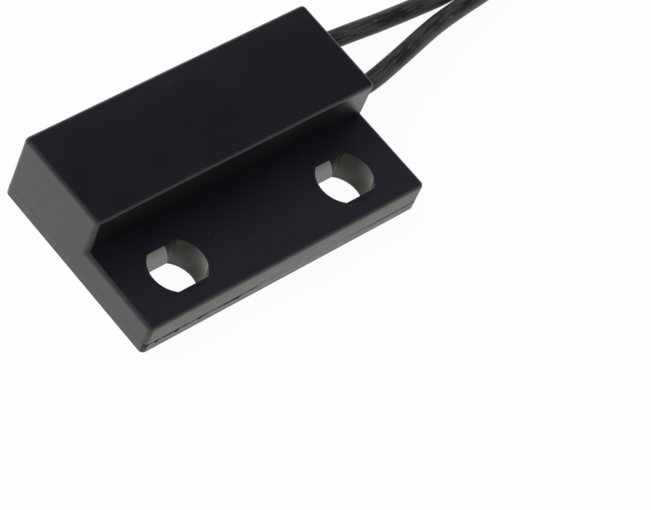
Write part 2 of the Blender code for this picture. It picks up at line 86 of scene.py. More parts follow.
def placeCamera(view):
    turn, roll = math.radians(view["azimuth"]), math.radians(view["roll"])
    back = pointing(view["azimuth"], view["elevation"])
    level = Vector((math.cos(turn), math.sin(turn), 0))
    upright = back.cross(level)
    right = level * math.cos(roll) + upright * math.sin(roll)
    up = back.cross(right)
    data = bpy.data.cameras.new("photoCamera")
    data.sensor_fit = "HORIZONTAL"
    data.sensor_width = view["sensor"]
    data.lens = view["lens"]
    data.clip_start, data.clip_end = view["nearest"], view["farthest"]
    camera = bpy.data.objects.new("photoCamera", data)
    bpy.context.scene.collection.objects.link(camera)
    facing = Matrix((right, up, back)).transposed().to_4x4()
    camera.matrix_world = Matrix.Translation(view["target"] + back * view["distance"]) @ facing
    bpy.context.scene.camera = camera


placeCamera(cameraView)
print("camera placed")


# materials

class Value:
    # one output of a material's node; sums and products of it add their own nodes
    def __init__(self, finish, socket):
        self.finish = finish
        self.socket = socket

    def maths(self, operation, *terms):
        return self.finish.node(
            "ShaderNodeMath", {"operation": operation}, dict(enumerate(terms))
        )

    def __add__(self, other):
        return self.maths("ADD", self, other)

    def __sub__(self, other):
        return self.maths("SUBTRACT", self, other)

    def __rsub__(self, other):
        return self.maths("SUBTRACT", other, self)

    def __mul__(self, other):
        return self.maths("MULTIPLY", self, other)

    def __pow__(self, other):
        return self.maths("POWER", self, other)

    __radd__ = __add__
    __rmul__ = __mul__

    def __abs__(self):
        return self.maths("ABSOLUTE", self)

    def over(self, edge, width):
        # 0 below the edge, 1 above it, with a soft step of that width
        return self.finish.node(
            "ShaderNodeMapRange",
            {"interpolation_type": "SMOOTHSTEP"},
            {0: self, 1: edge - width / 2, 2: edge + width / 2, 3: 0.0, 4: 1.0},
        )


class Finish:
    # a new material, or with a world given, that world's nodes
    def __init__(self, name, metallic=0.0, world=None):
        self.material = world or bpy.data.materials.new(name)
        self.material.use_nodes = True
        self.tree = self.material.node_tree
        if world:
            return
        self.shader = self.tree.nodes["Principled BSDF"]
        self.shader.inputs["Metallic"].default_value = metallic

    def node(self, kind, settings=None, sockets=None, output=0):
        made = self.tree.nodes.new(kind)
        for key, value in (settings or {}).items():
            if key == "stops":
                ramp = made.color_ramp.elements
                while len(ramp) < len(value):
                    ramp.new(0.5)
                for stop, (place, colour) in zip(ramp, value):
                    stop.position = place
                    stop.color = (*colour, 1.0)
            else:
                setattr(made, key, value)
        for key, value in (sockets or {}).items():
            self.feed(made.inputs[key], value)
        return Value(self, made.outputs[output])

    def feed(self, socket, value):
        if isinstance(value, Value):
            self.tree.links.new(value.socket, socket)
        else:
            socket.default_value = value

    def set(self, name, value):
        self.feed(self.shader.inputs[name], value)

    def place(self, stretch=(1, 1, 1), uv=False):
        where = self.node("ShaderNodeTexCoord", output="UV" if uv else "Object")
        return self.node("ShaderNodeMapping", None, {"Vector": where, "Scale": stretch})

    def grain(self, where, size, detail, rough=0.5):
        # noise with features of that size in metres
        return self.node(
            "ShaderNodeTexNoise",
            None,
            {"Vector": where, "Scale": 1 / size, "Detail": detail, "Roughness": rough},
        )

    def cells(self, where, size):
        return self.node("ShaderNodeTexVoronoi", None, {"Vector": where, "Scale": 1 / size})

    def vectors(self, operation, first, second):
        return self.node(
            "ShaderNodeVectorMath", {"operation": operation}, {0: first, 1: second}, "Value"
        )

    def axes(self, where, names):
        return [self.node("ShaderNodeSeparateXYZ", None, {0: where}, name) for name in names]

    def blend(self, factor, first, second):
        first, second = ((*c, 1.0) if isinstance(c, tuple) else c for c in (first, second))
        return self.node(
            "ShaderNodeMix", {"data_type": "RGBA"}, {0: factor, 6: first, 7: second}, output=2
        )

    def bump(self, height):
        # relief of that height in metres
        return self.node("ShaderNodeBump", None, {"Height": height, "Distance": 1.0})


# housing and base cover: their sizes and screw holes, and then their look
moulding = {
    "blockMiddle": 4.0 * mm,
    "holeSpacing": 17.45 * mm,
    "holeSetback": 3.7 * mm,
    "holeReach": 2.6 * mm,
    "holeRim": 0.04 * mm,
    "flangeTop": 3.2 * mm,
}
housingLow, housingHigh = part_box("housing")
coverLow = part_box("base_cover")[0]
holeY = housingLow.y + moulding["holeSetback"]


def holeDistance(along, across):
    # from the middle of the nearer screw hole, for numbers and for a material's values
    aside = abs(along) - moulding["holeSpacing"] / 2
    level = across - holeY
    return (aside * aside + level * level) ** 0.5


# black moulded plastic of the housing: fine grain, faint clouding, mottling and a few specks,
# with painted light that makes it paler towards the flange's open edge and the back, with smooth
# walls in the screw holes and one small pale flaw on the flange
housingLook = {
    "colour": (0.0012, 0.0012, 0.0028),
    "cloud": (0.0030, 0.0030, 0.0048),
    "dust": (0.030, 0.030, 0.031),
    # painted light: the paler tone, and where it lies, towards the flange's open edge and the
    # back
    "paintedLight": (0.0076, 0.0076, 0.0108),
    "paintedLightCentre": 1.5 * mm,
    "paintedLightFrom": 5.9 * mm,
    "paintedLightWidth": 4.0 * mm,
    "roughness": 0.40,
    "holeRoughness": 0.06,
    "ior": 1.53,
    "grainSize": 0.11 * mm,
    "grainDepth": 0.0016 * mm,
    "mottleSize": 0.7 * mm,
    "mottleDepth": 0.004 * mm,
    "waveSize": 3.5 * mm,
    "waveDepth": 0.012 * mm,
    "cloudSize": 5 * mm,
    "speckSize": 1.1 * mm,
    "speckGaps": 2.3 * mm,
    "dustDepth": 0.004 * mm,
    "holeReach": 2.47 * mm,
    "holeEdge": 0.01 * mm,
    "holeSmooth": 0.85,
    "flaw": Vector((-4.7, -3.8, 3.2)) * mm,
    "flawSize": 0.09 * mm,
}


def mouldedPlastic(name, look):
    made = Finish(name)
    made.shader.inputs["IOR"].default_value = look["ior"]
    where = made.place()
    cloud = made.grain(where, look["cloudSize"], 3, 0.6)
    grain = made.grain(where, look["grainSize"], 2, 0.6)
    waves = made.grain(where, look["waveSize"], 1, 0.4)
    mottle = made.grain(where, look["mottleSize"], 3, 0.6)
    speck = 1 - made.cells(where, look["speckSize"]).over(0.055, 0.03)
    rare = made.grain(where, look["speckGaps"], 1).over(0.60, 0.04)
    flaw = made.vectors("DISTANCE", where, look["flaw"])
    dust = speck * rare + (1 - flaw.over(look["flawSize"], look["flawSize"]))
    along, across = made.axes(where, "XY")
    hole = 1 - holeDistance(along, across).over(look["holeReach"], look["holeEdge"])
    # painted light: paler away from the block, towards the flange's open edge and the back,
    # mottled
    paintedLight = abs(across - look["paintedLightCentre"]).over(look["paintedLightFrom"], look["paintedLightWidth"])
    tone = made.blend(cloud.over(0.55, 0.35), look["colour"], look["cloud"])
    tone = made.blend(paintedLight * (mottle * 0.8 + 0.4), tone, look["paintedLight"])
    made.set("Base Color", made.blend(dust * 0.6, tone, look["dust"]))
    uneven = (cloud - 0.5) * 0.10 + (mottle - 0.5) * 0.16 + dust * 0.2 + (grain - 0.5) * 0.06
    plain = look["roughness"] + uneven
    made.set("Roughness", plain + (look["holeRoughness"] - plain) * hole)
    height = grain * (1 - hole * look["holeSmooth"]) * look["grainDepth"]
    height = height + waves * look["waveDepth"]
    height = height + mottle * look["mottleDepth"] + dust * look["dustDepth"]
    made.set("Normal", made.bump(height))
    return made.material


housingPlastic = mouldedPlastic("housingPlastic", housingLook)
coverLook = {
    **housingLook,
    "colour": (0.0050, 0.0050, 0.0046),
    "cloud": (0.0090, 0.0090, 0.0080),
    "roughness": 0.39,
    "ior": 1.52,
    "grainSize": 0.15 * mm,
    "grainDepth": 0.0030 * mm,
}
coverPlastic = mouldedPlastic("coverPlastic", coverLook)


# soft jacket of the leads: streaks along it, set out on its own map
leadLook = {
    "colour": (0.0400, 0.0400, 0.0390),
    "streak": (0.0080, 0.0080, 0.0080),
    "scuff": (0.100, 0.100, 0.098),
    "roughness": 0.46,
    "ior": 1.24,
    "streakStretch": (70, 12, 1),
    "streakDepth": 0.035 * mm,
    "scuffStretch": (420, 28, 1),
    "scuffDepth": 0.030 * mm,
    "fineSize": 0.13 * mm,
    "fineDepth": 0.004 * mm,
}


def leadJacket(look):
    made = Finish("leadJacketBlack")
    made.shader.inputs["IOR"].default_value = look["ior"]
    streak = made.grain(made.place(look["streakStretch"], uv=True), 1, 4, 0.65)
    scuff = made.grain(made.place(look["scuffStretch"], uv=True), 1, 4, 0.7)
    fine = made.grain(made.place(), look["fineSize"], 2, 0.6)
    marks = scuff.over(0.62, 0.12)
    tone = made.blend(streak.over(0.5, 0.18), look["streak"], look["colour"])
    made.set("Base Color", made.blend(marks * 0.5, tone, look["scuff"]))
    made.set("Roughness", look["roughness"] + (streak - 0.5) * 0.3 + marks * 0.15)
    height = streak * look["streakDepth"] + scuff * look["scuffDepth"] + fine * look["fineDepth"]
    made.set("Normal", made.bump(height))
    return made.material


# tinned, plated and soldered metal: dull patches and a fine grain
metalLook = {
    "strandTin": ((0.70, 0.68, 0.65), 0.30),
    "reedPlating": ((0.62, 0.60, 0.56), 0.24),
    "solderBright": ((0.66, 0.66, 0.67), 0.30),
    "dullShare": 0.55,
    "dullSize": 0.5 * mm,
    "dullDepth": 0.012 * mm,
    "fineSize": 0.06 * mm,
    "fineDepth": 0.003 * mm,
}


def bareMetal(name, look):
    colour, roughness = look[name]
    made = Finish(name, metallic=1.0)
    where = made.place()
    dull = made.grain(where, look["dullSize"], 3, 0.6)
    fine = made.grain(where, look["fineSize"], 2, 0.6)
    darker = tuple(c * look["dullShare"] for c in colour)
    made.set("Base Color", made.blend(dull.over(0.5, 0.5), darker, colour))
    made.set("Roughness", roughness + (dull - 0.5) * 0.3)
    made.set("Normal", made.bump(fine * look["fineDepth"] + dull * look["dullDepth"]))
    return made.material


# natural nylon of the tie, slightly milky
nylonLook = {
    "colour": (0.66, 0.66, 0.62),
    "cloud": (0.55, 0.55, 0.50),
    "roughness": 0.40,
    "milkiness": 0.15,
    "milkReach": (0.6 * mm, 0.6 * mm, 0.5 * mm),
    "cloudSize": 1.2 * mm,
    "fineSize": 0.09 * mm,
    "fineDepth": 0.002 * mm,
}


def tieNylon(look):
    made = Finish("tieNylon")
    made.shader.inputs["Subsurface Weight"].default_value = look["milkiness"]
    made.shader.inputs["Subsurface Radius"].default_value = look["milkReach"]
    made.shader.inputs["Subsurface Scale"].default_value = 1.0
    where = made.place()
    cloud = made.grain(where, look["cloudSize"], 3, 0.6)
    fine = made.grain(where, look["fineSize"], 2, 0.5)
    made.set("Base Color", made.blend(cloud.over(0.5, 0.4), look["cloud"], look["colour"]))
    made.set("Roughness", look["roughness"] + (cloud - 0.5) * 0.2)
    made.set("Normal", made.bump(fine * look["fineDepth"]))
    return made.material


# black resin poured into the housing, with a few bubbles
resinLook = {
    "colour": (0.006, 0.006, 0.007),
    "swirl": (0.012, 0.012, 0.014),
    "roughness": 0.20,
    "swirlSize": 1.8 * mm,
    "swirlDepth": 0.03 * mm,
    "bubbleSize": 0.7 * mm,
    "bubbleDepth": 0.02 * mm,
}


def pottingResin(look):
    made = Finish("pottingResin")
    where = made.place()
    swirl = made.grain(where, look["swirlSize"], 4, 0.6)
    bubble = 1 - made.cells(where, look["bubbleSize"]).over(0.12, 0.05)
    made.set("Base Color", made.blend(swirl.over(0.5, 0.3), look["colour"], look["swirl"]))
    made.set("Roughness", look["roughness"] + swirl * 0.15)
    made.set("Normal", made.bump(swirl * look["swirlDepth"] - bubble * look["bubbleDepth"]))
    return made.material


# pale green glass of the switch, drawn out along it
glassLook = {
    "colour": (0.68, 0.88, 0.74),
    "streak": (0.55, 0.80, 0.62),
    "roughness": 0.03,
    "ior": 1.52,
    "stretch": (0.4, 1, 1),
    "streakSize": 0.8 * mm,
    "streakDepth": 0.01 * mm,
}


def switchGlass(look):
    made = Finish("switchGlass")
    made.shader.inputs["Transmission Weight"].default_value = 1.0
    made.shader.inputs["IOR"].default_value = look["ior"]
    streak = made.grain(made.place(look["stretch"]), look["streakSize"], 2, 0.5)
    made.set("Base Color", made.blend(streak, look["streak"], look["colour"]))
    made.set("Roughness", look["roughness"] + streak * 0.05)
    made.set("Normal", made.bump(streak * look["streakDepth"]))
    return made.material


leadBlack = leadJacket(leadLook)
strandTin = bareMetal("strandTin", metalLook)
reedPlating = bareMetal("reedPlating", metalLook)
solderBright = bareMetal("solderBright", metalLook)
nylon = tieNylon(nylonLook)
resin = pottingResin(resinLook)
glass = switchGlass(glassLook)
print("materials made")


# helpers for meshes

def easing(share):
    share = min(max(share, 0.0), 1.0)
    return share * share * (3 - 2 * share)


def pieceFrom(bm, name, finish, smoothBelow, weighted=False):
    mesh = bpy.data.meshes.new(name)
    bm.to_mesh(mesh)
    bm.free()
    return pieceWith(mesh, name, finish, smoothBelow, weighted)


def pieceWith(mesh, name, finish, smoothBelow, weighted=False):
    # edges that turn by more degrees than smoothBelow stay sharp
    mesh.materials.clear()
    mesh.materials.append(finish)
    mesh.shade_smooth()
    mesh.set_sharp_from_angle(angle=math.radians(smoothBelow))
    piece = bpy.data.objects.new(name, mesh)
    bpy.context.scene.collection.objects.link(piece)
    if weighted:
        even = piece.modifiers.new("even shading", "WEIGHTED_NORMAL")
        even.keep_sharp = True
        even.weight = 80
    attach(piece, "root")
    return piece


def nodeCopy(name):
    # a merged copy of a CAD node's mesh, with its flat faces whole again
    bm = bmesh.new()
    bm.from_mesh(nodes[name].data)
    bmesh.ops.remove_doubles(bm, verts=bm.verts, dist=mergeWithin)
    bmesh.ops.dissolve_limit(
        bm, angle_limit=flatWithin, verts=bm.verts, edges=bm.edges, delimit=set()
    )
    return bm


def roundEdges(bm, edges, width):
    bmesh.ops.bevel(
        bm, geom=edges, offset=width, offset_type="OFFSET", segments=3, profile=0.5,
        affect="EDGES", clamp_overlap=True, material=-1,
    )


def cutAcross(bm, place, facing):
    bmesh.ops.bisect_plane(
        bm, geom=bm.verts[:] + bm.edges[:] + bm.faces[:], plane_co=place, plane_no=facing
    )


# the joint of housing and cover: a hairline all round, open in dots along the left of the front
seam = {
    "top": 1.05 * mm,
    "rise": 0.064 * mm,
    "cuts": 220,
    "reach": 13.9 * mm,
    "depth": 0.42 * mm,
    "lip": 0.35 * mm,
    "lipEnd": 0.40 * mm,
    "dot": 0.9 * mm,
    "ragged": 0.22 * mm,
    "openTo": -1.5 * mm,
    "openFade": 3 * mm,
    "rightFrom": 6 * mm,
    "rightFade": 4 * mm,
    "rightShare": 0.35,
    "betweenDots": 0.42,
    "faint": 0.06,
}


def roundHole(point):
    # whether a point lies on or just around a screw hole's wall
    return holeDistance(point.x, point.y) < moulding["holeReach"]


def liesAt(edge, height):
    # whether an edge lies at that height
    return all(abs(v.co.z - height) < sameHeight for v in edge.verts)


def makeHousing():
    bm = nodeCopy("housing")
    rims = [
        e for e in bm.edges
        if liesAt(e, moulding["flangeTop"]) and all(roundHole(v.co) for v in e.verts)
        and e.calc_face_angle(0) > 1
    ]
    roundEdges(bm, rims, moulding["holeRim"])
    print("housing hole rims:", len(rims))
    piece = pieceFrom(bm, "housingMoulding", housingPlastic, 38, True)
    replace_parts(piece, "housing")


def seamOpening(x):
    # how far the joint is open at that place along the front, from 0 to 1
    dots = easing((noise.noise(Vector((x / seam["dot"], 3.1, 0))) + 0.05) / 0.35)
    ragged = 0.75 + 0.5 * noise.noise(Vector((x / seam["ragged"], 7.7, 0)))
    dotted = seam["betweenDots"] + (1 - seam["betweenDots"]) * dots
    left = easing((seam["openTo"] - x) / seam["openFade"])
    right = seam["rightShare"] * easing((x - seam["rightFrom"]) / seam["rightFade"])
    return min(1.0, (seam["faint"] + dotted * left + right) * ragged)


def makeCover():
    bm = nodeCopy("base_cover")
    shut = seam["top"] + seam["rise"]
    for v in bm.verts:
        if abs(v.co.z - seam["top"]) < sameHeight:
            v.co.z = housingLow.z - mergeWithin if roundHole(v.co) else shut
    lines = [coverLow.y, coverLow.y + seam["lip"], coverLow.y + seam["lipEnd"]]
    for y in lines[1:]:
        cutAcross(bm, (0, y, 0), (0, 1, 0))
    for side in (-1, 1):
        cutAcross(bm, (side * seam["reach"], 0, 0), (1, 0, 0))
    along = [
        e for e in bm.edges
        if liesAt(e, shut) and abs(e.verts[0].co.x - e.verts[1].co.x) > seam["reach"]
        and any(all(abs(v.co.y - y) < sameHeight for v in e.verts) for y in lines)
    ]
    bmesh.ops.subdivide_edges(bm, edges=along, cuts=seam["cuts"], use_grid_fill=True)
    for v in bm.verts:
        atFront = any(abs(v.co.y - y) < sameHeight for y in lines[:2])
        if atFront and abs(v.co.z - shut) < sameHeight:
            v.co.z -= seam["depth"] * seamOpening(v.co.x)
    print("cover's joint cut along", len(along), "lines")
    piece = pieceFrom(bm, "coverPlate", coverPlastic, 38, True)
    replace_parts(piece, "base_cover")


makeHousing()
makeCover()
print("housing and cover made")


# leads: out of the housing, down to the surface and into the coil
leads = {
    "length": 265 * mm,
    "diameter": 1.6 * mm,
    "exitHeight": 3.4 * mm,
    "backAside": 2.5 * mm,
    "frontAside": -2.7 * mm,
    "sides": 20,
    "step": 1.0 * mm,
}
coil = {
    "centre": Vector((64.6, 2.42, 0)) * mm,
    "radii": [6.98 * mm, 8.60 * mm, 10.215 * mm],
    "levels": [1.22 * mm, 2.84 * mm, 4.46 * mm],
    "tailRadius": 5.33 * mm,
    "start": 0.85 * mm,  # this far inside the housing
    # degrees round the coil: where the leads come in, and where they change place
    "entry": 101.5,
    "turnStep": 9,
    "frontChange": 118,
    "frontSpread": 44,
    "frontTail": 318,
    "backChanges": [(205, 158), (245, 175), (285, 225)],
    "backDrop": 60,
    "backTail": 240,
}
blockEnd = housingHigh.x
blockMiddle = moulding["blockMiddle"]
backExit = Vector((blockEnd, blockMiddle + leads["backAside"], leads["exitHeight"]))
frontExit = Vector((blockEnd, blockMiddle + leads["frontAside"], leads["exitHeight"]))

# the routes' points in millimetres, from the middle of the block's end face, as in the solids
backRoute = [
    (2.7, 2.28, 3.36), (4.9, 2.16, 3.24), (7.1, 2.05, 3.05), (9.3, 2.03, 2.79),
    (11.7, 2.06, 2.46), (15.8, 2.22, 1.81), (19.8, 2.73, 1.28), (23.9, 3.52, 0.98),
    (28.5, 4.46, 0.86), (33.0, 5.37, 0.84), (37.5, 6.29, 0.92),
]
frontRoute = [
    (2.5, -2.58, 3.37), (4.9, -2.10, 3.24), (7.5, -1.48, 3.00), (10.3, -0.75, 2.65),
    (13.1, -0.07, 2.22), (16.5, 0.55, 1.71), (20.0, 1.08, 1.26), (24.1, 1.86, 0.97),
    (28.7, 2.80, 0.86), (33.2, 3.73, 0.84), (37.2, 4.55, 0.94),
]


def unrolled(angle, turn):
    # how far round the coil an angle is, in that turn, from where the lead comes in
    return (coil["entry"] - angle) % 360 + 360 * (turn - 1)


def windings(start, moves, end):
    # the line of a lead in the coil: it changes place between turns, as each move says
    points = []
    count = round(end / coil["turnStep"])
    for k in range(count + 1):
        done = end * k / count
        radius, height = start
        for begin, finish, (toRadius, toHeight), around in moves:
            share = easing((done - begin) / (finish - begin))
            if share == 0:
                continue
            if around is None:
                radius += (toRadius - radius) * share
                height += (toHeight - height) * share
            else:
                first = math.atan2(height - around[1], radius - around[0])
                last = math.atan2(toHeight - around[1], toRadius - around[0])
                reach = math.hypot(radius - around[0], height - around[1])
                bearing = first + (last - first) * share
                radius = around[0] + reach * math.cos(bearing)
                height = around[1] + reach * math.sin(bearing)
        turn = math.radians(coil["entry"] - done)
        points.append(
            coil["centre"] + Vector((radius * math.cos(turn), radius * math.sin(turn), height))
        )
    return points


def frontWinding():
    inner, middle, _ = coil["radii"]
    low, mid, _ = coil["levels"]
    spread = coil["frontSpread"]
    places = [(middle, mid), (inner, mid), (inner, low), (coil["tailRadius"], low)]
    moves = []
    for turn, place in enumerate(places, 1):
        finish = coil["frontChange"] + (turn - 1) * spread / 2
        moves.append((unrolled(finish + spread, turn), unrolled(finish, turn), place, None))
    return (middle, low), moves, moves[-1][1] + coil["frontTail"]


def backWinding():
    inner, middle, outer = coil["radii"]
    low, mid, top = coil["levels"]
    places = [((outer, mid), None), ((middle, top), (middle, mid)), ((inner, top), None)]
    moves = []
    for turn, (change, move) in enumerate(zip(coil["backChanges"], places), 1):
        moves.append((*(unrolled(angle, turn) for angle in change), *move))
    down = unrolled(0, 4)
    moves.append((down, down + coil["backDrop"], (coil["tailRadius"], mid), (inner, mid)))
    return (outer, low), moves, moves[-1][1] + coil["backTail"]


def smoothLine(points, step):
    # points about a step apart on a smooth curve through the given ones
    line = [points[0] * 2 - points[1], *points, points[-1] * 2 - points[-2]]
    path = []
    for a, b, c, d in zip(line, line[1:], line[2:], line[3:]):
        count = max(1, round((c - b).length / step))
        for k in range(count):
            t = k / count
            bend = (2 * a - 5 * b + 4 * c - d) * t**2 + (3 * b - a - 3 * c + d) * t**3
            path.append(0.5 * (2 * b + (c - a) * t + bend))
    return [*path, points[-1]]


def leadLine(exitPoint, route, winding):
    # the whole line of a lead, from inside its hole to its tip, in one smooth curve
    start, moves, end = winding
    inside = exitPoint - Vector((coil["start"], 0, 0))
    middle = [Vector((blockEnd, blockMiddle, 0)) + Vector(p) * mm for p in route]
    turns = windings(start, moves, end)
    return smoothLine([inside, exitPoint, *middle, *turns], leads["step"])


def measured(points):
    return sum((b - a).length for a, b in zip(points, points[1:]))


def cutBack(points, length):
    # the line without that much of its end, and the piece that was cut off it
    left = length
    for k in range(len(points) - 1, 0, -1):
        run = (points[k] - points[k - 1]).length
        if run >= left:
            cut = points[k].lerp(points[k - 1], left / run)
            return [*points[:k], cut], [cut, *points[k:]]
        left -= run
    return points, []


def tubeMesh(name, points, diameter, sides):
    curve = bpy.data.curves.new(name, "CURVE")
    curve.dimensions = "3D"
    curve.bevel_depth = diameter / 2
    curve.bevel_resolution = sides // 2 - 2
    curve.use_fill_caps = True
    spline = curve.splines.new("POLY")
    spline.points.add(len(points) - 1)
    for knot, place in zip(spline.points, points):
        knot.co = (*place, 1.0)
    guide = bpy.data.objects.new(name + "Guide", curve)
    bpy.context.scene.collection.objects.link(guide)
    bpy.context.view_layer.update()
    made = guide.evaluated_get(bpy.context.evaluated_depsgraph_get())
    mesh = bpy.data.meshes.new_from_object(made)
    bpy.data.objects.remove(guide)
    bm = bmesh.new()
    bm.from_mesh(mesh)
    bmesh.ops.remove_doubles(bm, verts=bm.verts, dist=mergeWithin)
    bm.to_mesh(mesh)
    bm.free()
    return mesh


# the bare ends: one strand in the middle and six twisted round it
tinned = {
    "length": 6 * mm,
    "strand": 0.262 * mm,
    "around": 6,
    "pitch": 7 * mm,
    "step": 0.35 * mm,
    "sides": 10,
}


def strandsMesh(name, points):
    bm = bmesh.new()
    path = smoothLine(points, tinned["step"])
    done = 0.0
    frames = []
    for k, place in enumerate(path):
        ahead = (path[min(k + 1, len(path) - 1)] - path[max(k - 1, 0)]).normalized()
        side = Vector((0, 0, 1)).cross(ahead).normalized()
        frames.append((place, side, ahead.cross(side), done))
        if k + 1 < len(path):
            done += (path[k + 1] - place).length
    for number in range(-1, tinned["around"]):
        line = []
        for place, side, up, along in frames:
            if number < 0:
                line.append(place)
                continue
            turn = math.tau * (number / tinned["around"] + along / tinned["pitch"])
            line.append(place + (side * math.cos(turn) + up * math.sin(turn)) * tinned["strand"])
        bm.from_mesh(tubeMesh(name, line, tinned["strand"], tinned["sides"]))
    return bm


def makeLead(side, exitPoint, route, winding):
    line = leadLine(exitPoint, route, winding)
    jacketLine, bareLine = cutBack(line, tinned["length"])
    name = "lead" + side.capitalize()
    mesh = tubeMesh(name, jacketLine, leads["diameter"], leads["sides"])
    lead = pieceWith(mesh, name + "Jacket", leadBlack, 40)
    bare = strandsMesh(name, bareLine)
    strands = pieceFrom(bare, name + "Strands", strandTin, 60)
    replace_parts(lead, "lead_" + side, "lead_tail_" + side)
    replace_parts(strands, "tinned_end_" + side)
    print(name, "line", round(measured(line) / mm, 1), "mm, points", len(line))
    return lead, strands, jacketLine


backLead, backStrands, backLine = makeLead("back", backExit, backRoute, backWinding())
frontLead, frontStrands, frontLine = makeLead("front", frontExit, frontRoute, frontWinding())
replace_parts(frontLead, "lead_coil")


# the tie: a grooved strap round the bundle, through its head, with the cut end standing out
tie = {
    "angle": 315,
    "inner": 4.46 * mm,
    "outer": 11.09 * mm,
    "low": 0.35 * mm,
    "high": 5.33 * mm,
    "width": 2.0 * mm,
    "thickness": 0.33 * mm,
    "corner": 0.6 * mm,
    "cornerSteps": 6,
    "step": 0.23 * mm,
    "grooveWidth": 1.2 * mm,
    "grooveDepth": 0.09 * mm,
    "grooveEdge": 0.025 * mm,
    "head": Vector((2.6, 2.4, 1.2)) * mm,
    "headSink": 0.12 * mm,
    "window": Vector((0.75, 1.5, 0.55)) * mm,
    "stub": Vector((0.36, 1.3, 0.95)) * mm,
    "stubSink": 0.02 * mm,
    "stubTurn": 4,
    "stubEdge": 0.04 * mm,
    "edge": 0.14 * mm,
}


def strapOutline():
    # points round the bundle, each with the way that it faces
    r, turns = tie["corner"], tie["cornerSteps"]
    x0, x1 = tie["inner"] + r, tie["outer"] - r
    z0, z1 = tie["low"] + r, tie["high"] - r
    corners = [(x1, z1, 0), (x0, z1, 90), (x0, z0, 180), (x1, z0, 270)]

    def roundCorner(x, z, angle):
        turn = math.radians(angle)
        facing = Vector((math.cos(turn), 0, math.sin(turn)))
        return Vector((x, 0, z)) + facing * r, facing

    line = []
    for (x, z, first), following in zip(corners, corners[1:] + corners[:1]):
        line += [roundCorner(x, z, first + 90 * k / turns) for k in range(turns + 1)]
        start, (end, facing) = line[-1][0], roundCorner(*following)
        count = round((end - start).length / tie["step"])
        line += [(start.lerp(end, k / count), facing) for k in range(1, count)]
    return line


def strapMesh():
    # a band round the bundle, thickened inwards, with a row of grooves sunk along its outside
    half, groove = tie["width"] / 2, tie["grooveWidth"] / 2
    bm = bmesh.new()
    sunk = bm.faces.layers.int.new("sunk")
    outline = strapOutline()
    side = Vector((0, half, 0))
    ring = [bm.verts.new(place + facing * tie["thickness"] - side) for place, facing in outline]
    edges = [bm.edges.new(pair) for pair in zip(ring, ring[1:] + ring[:1])]
    for row, width in enumerate((half - groove, 2 * groove, half - groove)):
        made = bmesh.ops.extrude_edge_only(bm, edges=edges)["geom"]
        verts = [g for g in made if isinstance(g, bmesh.types.BMVert)]
        bmesh.ops.translate(bm, vec=(0, width, 0), verts=verts)
        far = []
        for k, edge in enumerate(edges):
            face = next(f for f in edge.link_faces if any(v in verts for v in f.verts))
            face[sunk] = k % 2 if row == 1 else 0
            far.append(next(e for e in face.edges if all(v in verts for v in e.verts)))
        edges = far
    bmesh.ops.recalc_face_normals(bm, faces=bm.faces)
    middle = sum((place for place, facing in outline), Vector()) / len(outline)

    def facesOut(face):
        return face.normal.dot(face.calc_center_median() - middle) > 0

    if not facesOut(next(iter(bm.faces))):
        bmesh.ops.reverse_faces(bm, faces=bm.faces)
    bmesh.ops.solidify(bm, geom=bm.faces[:], thickness=tie["thickness"])
    bmesh.ops.recalc_face_normals(bm, faces=bm.faces)
    grooves = [f for f in bm.faces if f[sunk] and abs(f.normal.y) < 0.5 and facesOut(f)]
    bmesh.ops.inset_individual(
        bm, faces=grooves, thickness=tie["grooveEdge"], depth=-tie["grooveDepth"],
        use_even_offset=True,
    )
    print("tie's strap:", len(grooves), "grooves")
    return bm


def addBlock(bm, centre, size, bevel, lean=0.0):
    made = bmesh.ops.create_cube(bm, size=1.0)["verts"]
    bmesh.ops.scale(bm, vec=size, verts=made)
    bmesh.ops.rotate(bm, matrix=Matrix.Rotation(math.radians(lean), 3, "Y"), verts=made)
    bmesh.ops.translate(bm, vec=centre, verts=made)
    roundEdges(bm, [e for e in bm.edges if e.verts[0] in made], bevel)


def addHead(bm):
    # the head, with the window that the strap's end comes up through, and that end cut short
    size, window, stub = tie["head"], tie["window"], tie["stub"]
    middle = (tie["inner"] + tie["outer"]) / 2
    top = tie["high"] + size.z
    low = tie["high"] + tie["headSink"]
    addBlock(bm, (middle, 0, (low + top) / 2), (size.x, size.y, top - low), tie["edge"])

    def roofFaces():
        return [f for f in bm.faces if all(abs(v.co.z - top) < sameHeight for v in f.verts)]

    for axis, half in ((Vector((1, 0, 0)), window.x / 2), (Vector((0, 1, 0)), window.y / 2)):
        for side in (-1, 1):
            roofs = roofFaces()
            corners = [v for v in bm.verts if any(f in roofs for f in v.link_faces)]
            edges = [e for e in bm.edges if any(f in roofs for f in e.link_faces)]
            bmesh.ops.bisect_plane(
                bm,
                geom=[*corners, *edges, *roofs],
                plane_co=Vector((middle, 0, 0)) + axis * side * half,
                plane_no=axis,
            )
    opening = [
        f for f in roofFaces()
        if abs(f.calc_center_median().x - middle) < window.x / 2
        and abs(f.calc_center_median().y) < window.y / 2
    ]
    sunk = bmesh.ops.extrude_face_region(bm, geom=opening)
    floor = [v for v in sunk["geom"] if isinstance(v, bmesh.types.BMVert)]
    bmesh.ops.translate(bm, vec=(0, 0, -window.z), verts=floor)
    bmesh.ops.delete(bm, geom=opening, context="FACES_ONLY")
    stubMiddle = top - window.z + stub.z / 2 - tie["stubSink"]
    addBlock(bm, (middle, 0, stubMiddle), stub, tie["stubEdge"], tie["stubTurn"])


def makeTie():
    bm = strapMesh()
    addHead(bm)
    turn = Matrix.Rotation(math.radians(tie["angle"]), 4, "Z")
    bmesh.ops.transform(bm, matrix=Matrix.Translation(coil["centre"]) @ turn, verts=bm.verts)
    piece = pieceFrom(bm, "coilTie", nylon, 35)
    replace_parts(piece, "coil_tie")
    return piece


coilTie = makeTie()
print("leads and tie made")


